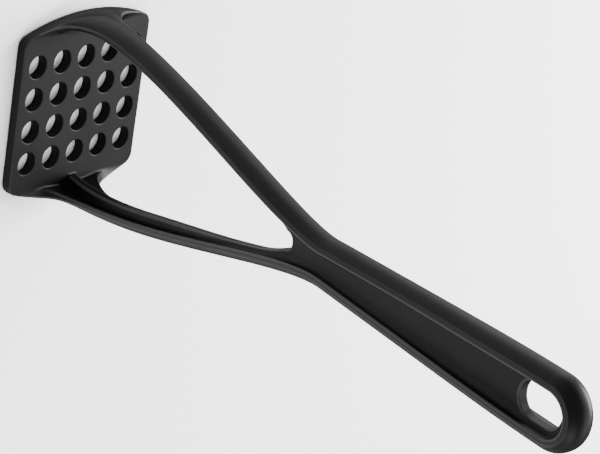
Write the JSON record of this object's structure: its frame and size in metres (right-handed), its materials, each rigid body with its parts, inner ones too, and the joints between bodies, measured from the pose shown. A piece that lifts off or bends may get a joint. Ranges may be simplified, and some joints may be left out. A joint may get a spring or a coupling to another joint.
{
  "type": "potato masher",
  "caption": "Black nylon potato masher: a perforated mashing plate on strap arms that join in a Y, with an I-section handle and an oval hanging hole.",
  "frame": {"origin": "centre of the flat mashing face, on the work surface", "axes": "+Z from the mashing face up to the handle; X across the two arms, which stand on the plate's curved ends; the handle leans towards -Y"},
  "size_m": [0.0794, 0.0992, 0.2852],
  "materials": {
    "nylon": "satin moulded nylon with fine grain"
  },
  "bodies": {
    "root": {"mashing_plate": "nylon", "left_foot": "nylon", "right_foot": "nylon", "left_arm": "nylon", "right_arm": "nylon", "left_arm_rib": "nylon", "right_arm_rib": "nylon", "crotch_web": "nylon", "handle_web": "nylon", "left_handle_rail": "nylon", "right_handle_rail": "nylon", "end_web": "nylon", "hanging_loop": "nylon"}
  },
  "joints": []
}
